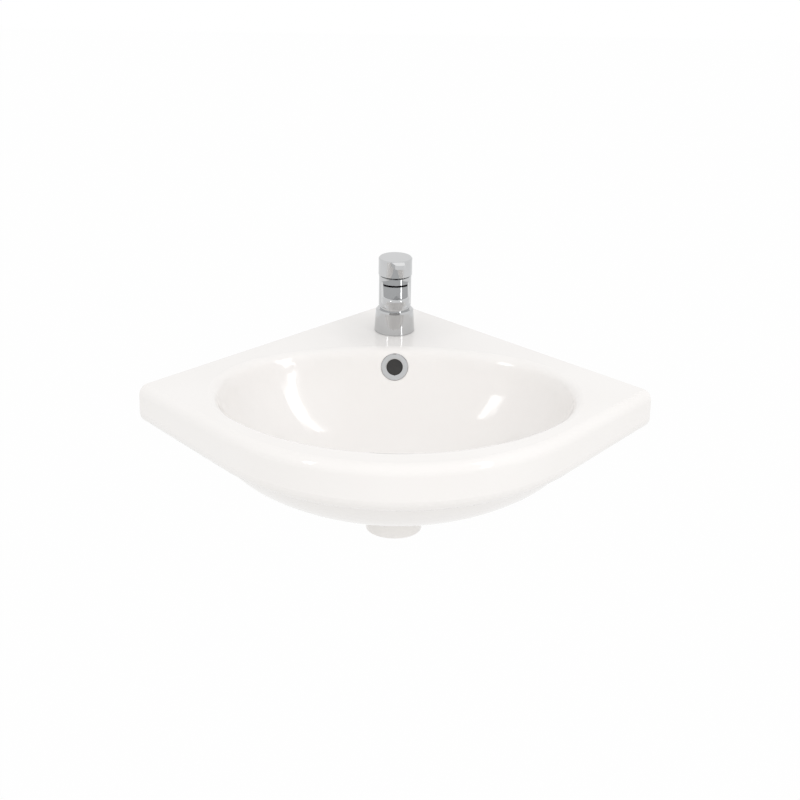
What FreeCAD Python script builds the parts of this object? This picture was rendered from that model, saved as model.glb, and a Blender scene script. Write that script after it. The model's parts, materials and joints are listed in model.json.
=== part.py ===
import FreeCAD, Part
import math
import os

import Sketcher

# A corner wall basin in glazed ceramic with a compact single-lever mixer.
#
# Frame, in millimetres: the origin is the vertical line where the two walls meet, at the height
# of the rim's top. X runs to the right along the front, Y towards the room corner, Z up. The two
# wall planes pass through the origin at 45 degrees, and the basin lies where Y < -|X|.
# The mixer's pieces are drawn about their own axis, with z = 0 on the ledge, and placed together.

SQRT_HALF = math.sqrt(0.5)

DIMENSIONS = [
    # the basin's plan
    ("wall_side", 421.0, "corner to tip, along each wall"),
    ("front_reach", 515.0, "corner to the middle of the front"),
    ("front_radius", 250.0, "plan radius of the bowed front"),
    ("corner_round", 20.0, "rounded back corner"),
    ("rim_height", 48.5, "height of the rim band at the walls and tips"),
    ("rim_fall", 9.5, "how much deeper the band is at the middle of the front"),
    ("rim_top_round", 12.0, "soft edge along the top of the front"),
    ("rim_under_round", 16.0, "soft edge under the front"),
    ("wall_edge_round", 2.5, "small round on the edges that meet the walls"),
    ("ledge_thickness", 14.0, "ceramic under the tap ledge"),
    ("wall_thickness", 12.0, "ceramic of the back walls and flanges"),
    # the bowl
    ("bowl_half_width", 207.0, "middle of the bowl to its side, at the lip"),
    ("bowl_side", 308.0, "corner to the bowl's widest place"),
    ("bowl_back", 172.0, "corner to the back of the lip"),
    ("bowl_front", 472.0, "corner to the front of the lip"),
    ("bowl_back_round", 0.83, "radius of the back's corners, as a share of the bowl's depth in plan there"),
    ("bowl_front_round", 0.78, "radius of the front's corners, as a share of the bowl's depth in plan there"),
    ("bowl_depth", 125.0, "lip to the bowl's floor"),
    ("bowl_draft", 0.15, "share by which the bowl's walls lean in over the depth"),
    ("bowl_wall", 7.0, "single skin between the bowl and the overflow channel"),
    ("shell_wall", 24.0, "bowl to the outside of the shell, sideways"),
    ("shell_front_trim", 6.5, "how much thinner the shell is at the front than at the sides"),
    ("shell_floor", 13.0, "floor to the underside of the shell"),
    ("shell_draft", 0.05, "share by which the shell's outside leans in over the depth"),
    ("lip_round", 10.0, "rounded edge of the bowl's lip"),
    # waste and overflow
    ("waste_centre", 305.0, "corner to the waste's axis"),
    ("waste_bore", 46.0, "diameter of the waste hole"),
    ("waste_seat", 66.0, "diameter of the recess for the waste's flange"),
    ("waste_seat_depth", 4.0, "depth of that recess under the floor"),
    ("boss_diameter", 66.0, "outside of the waste boss"),
    ("boss_bottom", 174.0, "rim's top to the boss's lower face"),
    ("overflow_drop", 22.0, "rim's top to the overflow's centre"),
    ("overflow_tilt", 17.0, "lean of the overflow's axis, degrees"),
    ("overflow_bore", 25.0, "diameter of the overflow hole"),
    ("overflow_ring_diameter", 33.0, "outside of the trim ring"),
    ("overflow_ring_bore", 20.0, "opening of the trim ring"),
    ("overflow_ring_flange", 2.4, "thickness of the trim ring's flange"),
    ("overflow_seat_depth", 1.4, "flat seat cut for the ring"),
    ("duct_width", 24.0, "width of the hidden overflow channel"),
    ("duct_depth", 10.0, "depth of the hidden overflow channel"),
    ("duct_wall", 8.0, "ceramic round the channel"),
    # fixing to the walls
    ("hollow_half_width", 175.0, "half the width of the space behind the bowl"),
    ("flange_drop", 112.0, "rim's top to the flanges' lower edge"),
    ("flange_half_span", 172.0, "how far each flange runs out from the corner"),
    ("fixing_along", 150.0, "corner to a fixing hole, along the wall"),
    ("fixing_drop", 80.0, "rim's top to a fixing hole"),
    ("fixing_hole", 13.0, "diameter of a fixing hole"),
    # mixer body
    ("tap_centre", 104.0, "corner to the mixer's axis"),
    ("tap_hole", 35.0, "diameter of the hole in the ledge"),
    ("base_radius", 25.0, "foot of the mixer"),
    ("base_top_radius", 23.4, "top of the tapered foot"),
    ("base_height", 29.0, "height of the foot"),
    ("base_bevel", 2.0, "bevel round the top of the foot"),
    ("base_lift", 0.4, "gap between foot and ledge, outside the gasket"),
    ("neck_radius", 18.4, "waist between foot and barrel"),
    ("barrel_radius", 20.0, "barrel that holds the cartridge"),
    ("barrel_bottom", 33.0, "ledge to the barrel's lower edge"),
    ("barrel_top", 71.0, "ledge to the barrel's top"),
    ("spigot_radius", 16.4, "spigot that centres the body in the hole"),
    ("spigot_length", 6.0, "length of that spigot"),
    ("gasket_thickness", 1.6, "foot gasket on the ledge"),
    ("gasket_outer", 22.0, "outer radius of the foot gasket"),
    ("gasket_inner", 18.2, "inner radius of the foot gasket"),
    ("chamber_radius", 14.0, "bore for the cartridge"),
    ("chamber_floor", 40.0, "ledge to the cartridge's seat"),
    ("inlet_offset", 8.0, "each inlet to the side of the middle"),
    ("inlet_forward", 3.0, "inlets in front of the middle"),
    ("inlet_radius", 5.0, "inlet thread, as a plain bore"),
    ("inlet_depth", 18.0, "depth of each inlet socket"),
    ("port_offset", 5.6, "each waterway to the side of the middle"),
    ("port_radius", 2.2, "waterway from inlet to disc"),
    ("outlet_back", 6.0, "outlet port behind the middle"),
    ("spout_half_width", 17.0, "half the spout's width, and its nose radius"),
    ("spout_reach", 67.0, "axis to the outlet's centre"),
    ("spout_top", 68.0, "ledge to the spout's top"),
    ("spout_nose", 8.0, "thickness of the spout at its nose"),
    ("spout_root", 18.0, "thickness of the spout at the barrel"),
    ("spout_edge_round", 2.6, "rounded top edge of the spout"),
    ("spout_roof", 2.8, "brass above the spout's waterway"),
    ("channel_half_width", 7.5, "half the width of the spout's waterway"),
    ("channel_height", 2.2, "height of the spout's waterway"),
    # aerator
    ("aerator_radius", 13.0, "visible ring of the aerator"),
    ("aerator_drop", 7.0, "how far the aerator hangs under the nose"),
    ("aerator_thread_radius", 11.0, "threaded part inside the nose"),
    ("aerator_bore", 9.6, "bore of the aerator's housing"),
    ("aerator_lip", 1.2, "ledge that holds the insert"),
    ("aerator_seal_thickness", 0.8, "flat seal above the aerator"),
    ("aerator_hole", 1.1, "radius of one opening of the insert"),
    # cartridge
    ("cartridge_radius", 12.5, "outside of the cartridge housing"),
    ("cartridge_shell", 1.9, "wall of the cartridge housing"),
    ("cartridge_roof", 1.4, "top wall of the cartridge housing"),
    ("cartridge_opening", 9.2, "opening for the stem in that wall"),
    ("cartridge_base_thickness", 3.0, "ported base of the cartridge"),
    ("port_seal_radius", 3.5, "outer radius of a port seal"),
    ("port_seal_thickness", 1.0, "thickness of a port seal"),
    ("disc_thickness", 3.0, "each ceramic disc"),
    ("disc_side_gap", 0.4, "fixed disc to the housing's wall"),
    ("moving_disc_radius", 8.6, "upper ceramic disc and its carrier"),
    ("carrier_height", 5.0, "height of the carrier"),
    ("disc_travel", 2.8, "slide of the moving disc, shut to open"),
    ("rotor_gap", 0.3, "clearance round the rotor"),
    ("rotor_height", 11.0, "height of the rotor that holds the pin"),
    ("rotor_slot", 8.0, "half the length of the rotor's slot"),
    ("pin_radius", 1.5, "pivot pin of the stem"),
    ("pin_clearance", 0.06, "running clearance on the pin"),
    ("pivot_height", 60.0, "ledge to the pivot pin"),
    ("stem_half", 3.5, "half the square stem"),
    ("stem_side_gap", 0.3, "stem to the rotor's slot"),
    ("stem_arm", 8.0, "pivot to the stem's ball"),
    ("stem_neck", 1.6, "radius of the stem's neck"),
    ("stem_ball", 2.2, "radius of the ball that drives the carrier"),
    ("ball_play", 0.6, "room round the ball"),
    ("stem_top", 90.0, "ledge to the top of the stem"),
    ("nut_height", 3.4, "thickness of the cartridge nut"),
    ("nut_opening", 10.6, "half the width of the nut's hexagon socket"),
    ("cover_thickness", 1.4, "thin cover ring on the barrel"),
    ("cover_opening", 13.0, "opening of the cover ring"),
    ("screw_fit", 0.05, "radial room in a screwed joint"),
    # lever
    ("lever_gap", 1.4, "gap between cover ring and lever"),
    ("lever_radius", 20.8, "round cap of the lever"),
    ("lever_top", 95.0, "ledge to the lever's flat top"),
    ("lever_bevel", 1.2, "bevel round the lever's top"),
    ("lever_skirt", 2.6, "wall of the lever's cap"),
    ("lever_roof", 4.6, "thickness of the lever's top"),
    ("lever_relief", 22.5, "slope that clears the back of the skirt, degrees"),
    ("lever_boss", 6.6, "radius of the socket for the stem"),
    ("lever_boss_bottom", 75.5, "ledge to the lower end of that socket"),
    ("socket_room", 0.05, "stem to its socket"),
    ("web_half", 4.0, "half the width of the web round the grub screw"),
    ("web_bottom", 80.0, "ledge to the web's lower edge"),
    ("lever_turn", 7.0, "how far the lever stands turned at rest, degrees"),
    ("tongue_reach", 49.0, "axis to the tip of the lever's tongue"),
    ("tongue_rise", 10.0, "slope of the tongue, degrees"),
    ("tongue_root", 9.0, "half width of the tongue at the cap"),
    ("tongue_tip", 6.0, "radius of the tongue's tip"),
    ("tongue_thickness", 5.0, "thickness of the tongue"),
    ("grub_radius", 2.0, "grub screw"),
    ("grub_length", 8.0, "length of the grub screw"),
    ("grub_height", 86.6, "ledge to the grub screw's axis"),
    ("plug_radius", 2.8, "plug that covers the grub screw"),
    ("plug_thickness", 1.4, "thickness of that plug"),
    # fixing set under the ledge
    ("stud_radius", 4.0, "fixing stud"),
    ("stud_back", 10.0, "stud behind the middle"),
    ("stud_grip", 12.0, "stud's length inside the body"),
    ("stud_tail", 46.0, "ledge to the stud's lower end"),
    ("horseshoe_radius", 22.0, "washer and plate under the ledge"),
    ("horseshoe_slot", 14.0, "half width of the slot for the supplies"),
    ("horseshoe_land", 3.0, "where that slot ends, behind the middle"),
    ("rubber_thickness", 3.0, "rubber horseshoe washer"),
    ("plate_thickness", 2.5, "steel horseshoe plate"),
    ("stud_nut_half", 6.5, "half across the flats of the stud nut"),
    ("stud_nut_height", 8.0, "height of the stud nut"),
    ("hole_room", 0.3, "radial room of a plain hole"),
]

# Depth shares at which the bowl's cross-sections are drawn, as angles of its rounded profile.
PROFILE_ANGLES = [5, 10, 17, 26, 36, 47, 58, 68]
PROFILE_POWER = 2.3
FLOOR_SCALE = 0.06
LIP_ANGLES = [0, 25, 50, 75]


def fill_sheet(doc):
    """One row for each driving dimension: name, value and what it is."""
    sheet = doc.addObject("Spreadsheet::Sheet", "dims")
    for row, (alias, value, note) in enumerate(DIMENSIONS, start=1):
        sheet.set(f"A{row}", alias)
        sheet.set(f"B{row}", str(value))
        sheet.set(f"C{row}", note)
        sheet.setAlias(f"B{row}", alias)
    doc.recompute()
    return sheet


class Maker:
    """Draws bodies whose sizes are expressions on the sheet."""

    def __init__(self, doc, sheet):
        self.doc = doc
        self.sheet = sheet

    def value(self, expression):
        result = self.sheet.evalExpression(expression)
        return float(getattr(result, "Value", result))

    def body(self, label, on_tap=True, turned=False):
        """A body in the basin's frame, on the mixer's axis, or also turned with the lever."""
        body = self.doc.addObject("PartDesign::Body", label)
        body.Label = label
        if turned:
            body.Placement.Rotation = FreeCAD.Rotation(FreeCAD.Vector(0, 0, 1), self.value("dims.lever_turn"))
            body.setExpression("Placement.Rotation.Angle", "dims.lever_turn")
        if on_tap:
            body.setExpression("Placement.Base.y", "-dims.tap_centre")
        return body

    def sketch(self, body, name, role="XY_Plane", offset="0"):
        sketch = body.newObject("Sketcher::SketchObject", name)
        plane = [item for item in body.Origin.OriginFeatures if item.Role == role][0]
        sketch.AttachmentSupport = [(plane, "")]
        sketch.MapMode = "FlatFace"
        if offset != "0":
            sketch.setExpression("AttachmentOffset.Base.z", offset)
        return sketch

    def bind(self, sketch, kind, first, second, expression):
        """A named constraint whose value is an expression."""
        number = self.value(expression)
        index = sketch.addConstraint(Sketcher.Constraint(kind, *first, *second, number))
        name = f"size_{index}"
        sketch.renameConstraint(index, name)
        sketch.setExpression("Constraints." + name, expression)

    def fix_point(self, sketch, edge, end, x_expression, y_expression):
        """Puts one end (or the centre) of an edge at two expressions from the origin."""
        for kind, expression, axis in (("DistanceX", x_expression, -2), ("DistanceY", y_expression, -1)):
            if expression == "0":
                sketch.addConstraint(Sketcher.Constraint("PointOnObject", edge, end, axis))
            else:
                self.bind(sketch, kind, (-1, 1), (edge, end), expression)

    def polygon(self, sketch, points):
        """A closed outline of straight lines through points given as expressions."""
        spots = [FreeCAD.Vector(self.value(x), self.value(y), 0) for x, y in points]
        first = sketch.GeometryCount
        count = len(spots)
        for index, spot in enumerate(spots):
            sketch.addGeometry(Part.LineSegment(spot, spots[(index + 1) % count]), False)
        for index in range(count):
            following = first + (index + 1) % count
            sketch.addConstraint(Sketcher.Constraint("Coincident", first + index, 2, following, 1))
        for index, (x, y) in enumerate(points):
            self.fix_point(sketch, first + index, 1, x, y)

    def circle(self, sketch, x, y, radius):
        centre = FreeCAD.Vector(self.value(x), self.value(y), 0)
        normal = FreeCAD.Vector(0, 0, 1)
        edge = sketch.addGeometry(Part.Circle(centre, normal, self.value(radius)), False)
        if x == "0" and y == "0":
            sketch.addConstraint(Sketcher.Constraint("Coincident", edge, 3, -1, 1))
        else:
            self.fix_point(sketch, edge, 3, x, y)
        self.bind(sketch, "Radius", (edge,), (), radius)

    def pad(self, body, sketch, length, reverse=False, midplane=False):
        pad = body.newObject("PartDesign::Pad", sketch.Name + "_pad")
        pad.Profile = sketch
        pad.Reversed = reverse
        pad.Midplane = midplane
        pad.setExpression("Length", length)
        return pad

    def pocket(self, body, sketch, length, reverse=False, midplane=False):
        """Cuts away from the sketch: down from an XY sketch, up when reversed."""
        pocket = body.newObject("PartDesign::Pocket", sketch.Name + "_pocket")
        pocket.Profile = sketch
        pocket.Reversed = reverse
        pocket.Midplane = midplane
        pocket.setExpression("Length", length)
        return pocket

    def revolve(self, body, name, points):
        """Turns a closed half outline, given as radius and height, about the Z axis."""
        sketch = self.sketch(body, name, "XZ_Plane")
        self.polygon(sketch, points)
        turned = body.newObject("PartDesign::Revolution", name + "_turned")
        turned.Profile = sketch
        turned.ReferenceAxis = (sketch, ["V_Axis"])
        turned.Angle = 360
        return turned

    def ring(self, body, name, outer, inner, bottom, top):
        """A plain washer or sleeve between two radii and two heights."""
        outline = [(inner, bottom), (outer, bottom), (outer, top), (inner, top)]
        return self.revolve(body, name, outline)

    def cylinder_cut(self, body, name, x, y, radius, bottom, length):
        """A round vertical hole that starts at `bottom` and goes up."""
        sketch = self.sketch(body, name, "XY_Plane", bottom)
        self.circle(sketch, x, y, radius)
        return self.pocket(body, sketch, length, reverse=True)

    def round_edges(self, body, name, radius, wanted):
        """Rounds the edges of the body's present tip that `wanted` picks."""
        self.doc.recompute()
        base = body.Tip
        names = [f"Edge{n}" for n, edge in enumerate(base.Shape.Edges, start=1) if wanted(edge)]
        feature = body.newObject("PartDesign::Fillet", name)
        feature.Base = (base, names)
        feature.setExpression("Radius", radius)
        return feature


# ---------------------------------------------------------------- basin

def profile_levels():
    """Pairs of depth share and width share down the bowl's rounded profile."""
    levels = []
    for angle in PROFILE_ANGLES:
        turn = math.radians(angle)
        depth = math.sin(turn) ** (2 / PROFILE_POWER)
        width = math.cos(turn) ** (2 / PROFILE_POWER)
        levels.append((depth, width))
    return levels


def scaled_width(depth, width, draft):
    """Expression for how much of the lip's outline is left at a depth share."""
    return f"({width:.5f} * (1 - {draft} * {depth:.5f}))"


def half_outline(edge, share, scale, grow, trim):
    """Expressions for one half of the bowl's outline: a wide arc between two tighter corners.

    edge: the half's far end; share: the corner radius as a share of the half's depth in plan.
    The wide radius follows, because the arcs are tangent and the corners start level at the side.
    """
    depth = f"(abs(dims.{edge} - dims.bowl_side) * {scale} - {trim})"
    corner = f"({depth} * dims.{share})"
    corner_x = f"(dims.bowl_half_width * {scale} - {corner})"
    wide = f"(({corner_x} ^ 2 + {depth} ^ 2 - {corner} ^ 2) / (2 * ({depth} - {corner})))"
    return corner_x, f"({corner} + {grow})", f"({wide} + {grow})", f"({wide} - {depth})"


def bowl_section(maker, body, name, height, scale, grow, trim="0"):
    """The bowl's outline at one height: a rounded oval of six tangent arcs."""
    sketch = maker.sketch(body, name, "XY_Plane", height)
    level = f"(dims.waste_centre + (dims.bowl_side - dims.waste_centre) * {scale})"
    back = half_outline("bowl_back", "bowl_back_round", scale, grow, "0")
    front = half_outline("bowl_front", "bowl_front_round", scale, grow, trim)
    for flip, start, half in ((1, 0, back), (-1, math.pi, front)):
        x, corner, wide, offset = (maker.value(item) for item in half)
        turn = math.atan2(offset, x)
        arcs = [
            (x, 0, corner, 0, turn),
            (0, -offset, wide, turn, math.pi - turn),
            (-x, 0, corner, math.pi - turn, math.pi),
        ]
        for centre_x, centre_y, radius, first, last in arcs:
            centre = FreeCAD.Vector(flip * centre_x, flip * centre_y - maker.value(level), 0)
            circle = Part.Circle(centre, FreeCAD.Vector(0, 0, 1), radius)
            sketch.addGeometry(Part.ArcOfCircle(circle, start + first, start + last), False)
    for index in range(6):
        sketch.addConstraint(Sketcher.Constraint("Tangent", index, 2, (index + 1) % 6, 1))
    for first, sign, (corner_x, corner, wide, offset) in ((0, "-", back), (3, "+", front)):
        sketch.addConstraint(Sketcher.Constraint("PointOnObject", first + 1, 3, -2))
        maker.bind(sketch, "Radius", (first,), (), corner)
        maker.bind(sketch, "Radius", (first + 1,), (), wide)
        maker.bind(sketch, "Radius", (first + 2,), (), corner)
        maker.bind(sketch, "DistanceY", (-1, 1), (first + 1, 3), f"-{level} {sign} {offset}")
    maker.bind(sketch, "DistanceX", (-1, 1), (0, 3), back[0])
    maker.bind(sketch, "DistanceX", (-1, 1), (2, 3), f"-{back[0]}")
    return sketch


def bowl_loft(maker, body, name, kind, depth, grow, draft, top_sections, trim="0"):
    """A smooth loft from the given top outlines down the rounded profile."""
    sections = list(top_sections)
    for number, (share, width) in enumerate(profile_levels()):
        scale = scaled_width(share, width, draft)
        height = f"-({depth}) * {share:.5f}"
        sections.append(bowl_section(maker, body, f"{name}_{number}", height, scale, grow, trim))
    loft = body.newObject(kind, name)
    loft.Profile = sections[0]
    loft.Sections = sections[1:]
    loft.Ruled = False


def add_shell(maker, body):
    """The outside of the bowl, which starts inside the ledge's thickness."""
    wall, trim = "dims.shell_wall", "dims.shell_front_trim"
    top = bowl_section(maker, body, "shell_top", "-dims.ledge_thickness / 2", "1", wall, trim)
    depth = "dims.bowl_depth + dims.shell_floor"
    bowl_loft(maker, body, "shell", "PartDesign::AdditiveLoft", depth, wall, "dims.shell_draft", [top], trim)


def cut_bowl(maker, body):
    """The bowl's inside, whose first outlines turn a quarter round to form the soft lip."""
    draft = "dims.bowl_draft"
    lip = []
    for number, angle in enumerate(LIP_ANGLES):
        turn = math.radians(angle)
        fall = f"dims.lip_round * {1 - math.cos(turn):.5f}"
        spread = f"dims.lip_round * {1 - math.sin(turn):.5f}"
        lean = f"(1 - {draft} * {fall} / dims.bowl_depth)"
        height = f"-{fall}" if angle else "0"
        lip.append(bowl_section(maker, body, f"lip_{number}", height, lean, spread))
    bowl_loft(maker, body, "bowl", "PartDesign::SubtractiveLoft", "dims.bowl_depth", "0", draft, lip)

    share, width = profile_levels()[-1]
    edge_scale = scaled_width(share, width, draft)
    floor = body.newObject("PartDesign::SubtractiveLoft", "bowl_floor")
    edge_height = f"-dims.bowl_depth * {share:.5f}"
    floor.Profile = bowl_section(maker, body, "floor_edge", edge_height, edge_scale, "0")
    lowest_scale = scaled_width(1, FLOOR_SCALE, draft)
    floor.Sections = [bowl_section(maker, body, "floor_lowest", "-dims.bowl_depth", lowest_scale, "0")]
    floor.Ruled = True


def back_wall(share_depth, outward):
    """Expressions for a point behind the bowl's back wall, at a share of its depth."""
    width = (1 - share_depth ** PROFILE_POWER) ** (1 / PROFILE_POWER)
    scale = scaled_width(share_depth, width, "dims.bowl_draft")
    y = f"-(dims.waste_centre - (dims.waste_centre - dims.bowl_back) * {scale} - {outward})"
    z = f"-dims.bowl_depth * {share_depth:.4f}"
    return y, z


def rim_outline(maker, body):
    """Two walls that meet at a rounded corner, and a front of two straights and one arc."""
    sketch = maker.sketch(body, "rim_outline")
    tip = "dims.wall_side * sqrt(0.5)"
    w, radius = maker.value(tip), maker.value("dims.front_radius")
    centre_y = -maker.value("dims.front_reach - dims.front_radius")
    corner = maker.value("dims.corner_round")
    reach = math.hypot(w, -w - centre_y)
    swing = math.atan2(-w - centre_y, w) - math.acos(radius / reach)
    touch = FreeCAD.Vector(radius * math.cos(swing), centre_y + radius * math.sin(swing), 0)
    left_touch = FreeCAD.Vector(-touch.x, touch.y, 0)
    bite = corner * SQRT_HALF
    right_wall = FreeCAD.Vector(bite, -bite, 0)
    left_wall = FreeCAD.Vector(-bite, -bite, 0)
    right_tip = FreeCAD.Vector(w, -w, 0)
    left_tip = FreeCAD.Vector(-w, -w, 0)
    up = FreeCAD.Vector(0, 0, 1)
    corner_circle = Part.Circle(FreeCAD.Vector(0, -corner / SQRT_HALF, 0), up, corner)
    front_circle = Part.Circle(FreeCAD.Vector(0, centre_y, 0), up, radius)
    edges = [
        Part.ArcOfCircle(corner_circle, math.pi / 4, 3 * math.pi / 4),
        Part.LineSegment(left_wall, left_tip),
        Part.LineSegment(left_tip, left_touch),
        Part.ArcOfCircle(front_circle, math.pi - swing, 2 * math.pi + swing),
        Part.LineSegment(touch, right_tip),
        Part.LineSegment(right_tip, right_wall),
    ]
    for edge in edges:
        sketch.addGeometry(edge, False)
    for first, second in ((0, 1), (2, 3), (3, 4), (5, 0)):
        sketch.addConstraint(Sketcher.Constraint("Tangent", first, 2, second, 1))
    for first, second in ((1, 2), (4, 5)):
        sketch.addConstraint(Sketcher.Constraint("Coincident", first, 2, second, 1))
    maker.bind(sketch, "Radius", (0,), (), "dims.corner_round")
    maker.bind(sketch, "Radius", (3,), (), "dims.front_radius")
    maker.fix_point(sketch, 3, 3, "0", "dims.front_radius - dims.front_reach")
    maker.fix_point(sketch, 0, 3, "0", "-dims.corner_round / sqrt(0.5)")
    maker.fix_point(sketch, 2, 1, f"-({tip})", f"-({tip})")
    maker.fix_point(sketch, 5, 1, tip, f"-({tip})")
    return sketch


def middle_of(edge):
    return edge.valueAt((edge.FirstParameter + edge.LastParameter) / 2)


def lies_at(edge, height):
    """True for an edge that runs level at one height."""
    return all(abs(vertex.Z - height) < 1e-4 for vertex in edge.Vertexes + [Part.Vertex(middle_of(edge))])


def make_basin(maker):
    body = maker.body("basin", on_tap=False)
    rim_bottom = -maker.value("dims.rim_height")
    tip = "dims.wall_side * sqrt(0.5)"
    behind_tips = -maker.value(tip) - 1

    def along_walls(edge):
        middle = middle_of(edge)
        return lies_at(edge, 0) and abs(middle.x) >= abs(middle.y) - maker.value("dims.corner_round")

    def top_front(edge):
        middle = middle_of(edge)
        return middle.z > rim_bottom / 4 and middle.y < behind_tips

    def under_front(edge):
        low = all(vertex.Z < rim_bottom + 1e-4 for vertex in edge.Vertexes)
        return low and middle_of(edge).z < rim_bottom and middle_of(edge).y < behind_tips

    outline = rim_outline(maker, body)
    maker.pad(body, outline, "dims.rim_height + dims.rim_fall", reverse=True)
    slope = maker.sketch(body, "underside", "YZ_Plane")
    maker.polygon(slope, [
        ("10", "-dims.rim_height"),
        (f"-({tip})", "-dims.rim_height"),
        ("-dims.front_reach", "-dims.rim_height - dims.rim_fall"),
        ("-dims.front_reach", "-dims.rim_height - dims.rim_fall - 5"),
        ("10", "-dims.rim_height - dims.rim_fall - 5"),
    ])
    maker.pocket(body, slope, "3 * dims.wall_side", midplane=True)
    maker.round_edges(body, "rim_top_edge", "dims.rim_top_round", top_front)
    maker.round_edges(body, "rim_under_edge", "dims.rim_under_round", under_front)
    maker.round_edges(body, "wall_edge", "dims.wall_edge_round", along_walls)
    add_underside(maker, body)
    add_shell(maker, body)
    add_boss_and_duct(maker, body)
    cut_bowl(maker, body)
    cut_holes(maker, body)
    cut_duct(maker, body)
    cut_overflow(maker, body)
    for side in (-1, 1):
        cut_fixing_hole(maker, body, side)
    return body


def flange_outline(maker, sketch):
    """An angle against both walls, with the same rounded corner as the rim."""
    span = "dims.flange_half_span"
    inner = "dims.wall_thickness / sqrt(0.5)"
    end_x = f"({span} - dims.wall_thickness * sqrt(0.5))"
    end_y = f"-({span} + dims.wall_thickness * sqrt(0.5))"
    corner = maker.value("dims.corner_round")
    bite = corner * SQRT_HALF
    arc = Part.Circle(FreeCAD.Vector(0, -corner / SQRT_HALF, 0), FreeCAD.Vector(0, 0, 1), corner)
    sketch.addGeometry(Part.ArcOfCircle(arc, math.pi / 4, 3 * math.pi / 4), False)
    places = [
        (f"-{span}", f"-{span}"),
        (f"-{end_x}", end_y),
        ("0", f"-{inner}"),
        (end_x, end_y),
        (span, f"-{span}"),
    ]
    spots = [FreeCAD.Vector(maker.value(x), maker.value(y), 0) for x, y in places]
    corners = [FreeCAD.Vector(-bite, -bite, 0)] + spots + [FreeCAD.Vector(bite, -bite, 0)]
    for start, end in zip(corners, corners[1:]):
        sketch.addGeometry(Part.LineSegment(start, end), False)
    last = len(corners) - 1
    for first, second in ((0, 1), (last, 0)):
        sketch.addConstraint(Sketcher.Constraint("Tangent", first, 2, second, 1))
    for edge in range(1, last):
        sketch.addConstraint(Sketcher.Constraint("Coincident", edge, 2, edge + 1, 1))
    for edge, (x, y) in enumerate(places, start=2):
        maker.fix_point(sketch, edge, 1, x, y)
    maker.bind(sketch, "Radius", (0,), (), "dims.corner_round")
    maker.fix_point(sketch, 0, 3, "0", "-dims.corner_round / sqrt(0.5)")


def add_underside(maker, body):
    """The open space behind the bowl, and the two flanges that stand against the walls."""
    inset = "dims.wall_thickness / sqrt(0.5)"
    half, back = "dims.hollow_half_width", "(dims.hollow_half_width + dims.wall_thickness / sqrt(0.5))"
    hollow = maker.sketch(body, "hollow", "XY_Plane", "-dims.rim_height")
    maker.polygon(hollow, [
        ("0", f"-{inset}"),
        (f"-{half}", f"-{back}"),
        (half, f"-{back}"),
    ])
    maker.pocket(body, hollow, "dims.rim_height - dims.ledge_thickness", reverse=True)

    flange = maker.sketch(body, "flange", "XY_Plane", "-dims.ledge_thickness / 2")
    flange_outline(maker, flange)
    maker.pad(body, flange, "dims.flange_drop - dims.ledge_thickness / 2", reverse=True)

    span = "dims.flange_half_span"
    for side, name in (("-", "left"), ("", "right")):
        bevel = maker.sketch(body, f"{name}_bevel", "XZ_Plane")
        maker.polygon(bevel, [
            (f"{side}({span} + 5)", "-dims.rim_height"),
            (f"{side}({span} + 5)", "-dims.flange_drop - 5"),
            (f"{side}({span} - dims.flange_drop + dims.rim_height)", "-dims.flange_drop - 5"),
            (f"{side}{span}", "-dims.rim_height"),
        ])
        maker.pocket(body, bevel, "3 * dims.flange_half_span", midplane=True)


def add_boss_and_duct(maker, body):
    boss = maker.sketch(body, "boss", "XY_Plane", "-dims.boss_bottom")
    maker.circle(boss, "0", "-dims.waste_centre", "dims.boss_diameter / 2")
    maker.pad(body, boss, "dims.boss_bottom - dims.bowl_depth")

    rib = maker.sketch(body, "duct_rib", "YZ_Plane")
    outside = "(dims.bowl_wall + dims.duct_depth + dims.duct_wall)"
    inside = "(dims.bowl_wall / 2)"
    shares = (0.06, 0.2, 0.4, 0.56, 0.7, 0.83)
    outer_line = [back_wall(share, outside) for share in shares]
    inner_line = [back_wall(share, inside) for share in reversed(shares)]
    foot = "(dims.bowl_depth + dims.waste_seat_depth + dims.duct_wall * 2 + dims.duct_depth)"
    near_boss = "-dims.waste_centre + dims.boss_diameter / 4"
    maker.polygon(rib, outer_line + [
        ("-dims.waste_centre + dims.boss_diameter / 2 + dims.duct_depth", f"-{foot}"),
        (near_boss, f"-{foot}"),
        (near_boss, "-(dims.bowl_depth + dims.shell_floor / 2)"),
    ] + inner_line)
    maker.pad(body, rib, "dims.duct_width + 2 * dims.duct_wall", midplane=True)


def cut_holes(maker, body):
    bore = maker.sketch(body, "waste_bore", "XY_Plane")
    maker.circle(bore, "0", "-dims.waste_centre", "dims.waste_bore / 2")
    maker.pocket(body, bore, "dims.boss_bottom + 5")

    seat = maker.sketch(body, "waste_seat", "XY_Plane")
    maker.circle(seat, "0", "-dims.waste_centre", "dims.waste_seat / 2")
    maker.pocket(body, seat, "dims.bowl_depth + dims.waste_seat_depth")

    tap = maker.sketch(body, "tap_hole", "XY_Plane")
    maker.circle(tap, "0", "-dims.tap_centre", "dims.tap_hole / 2")
    maker.pocket(body, tap, "dims.ledge_thickness + 20")


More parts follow.
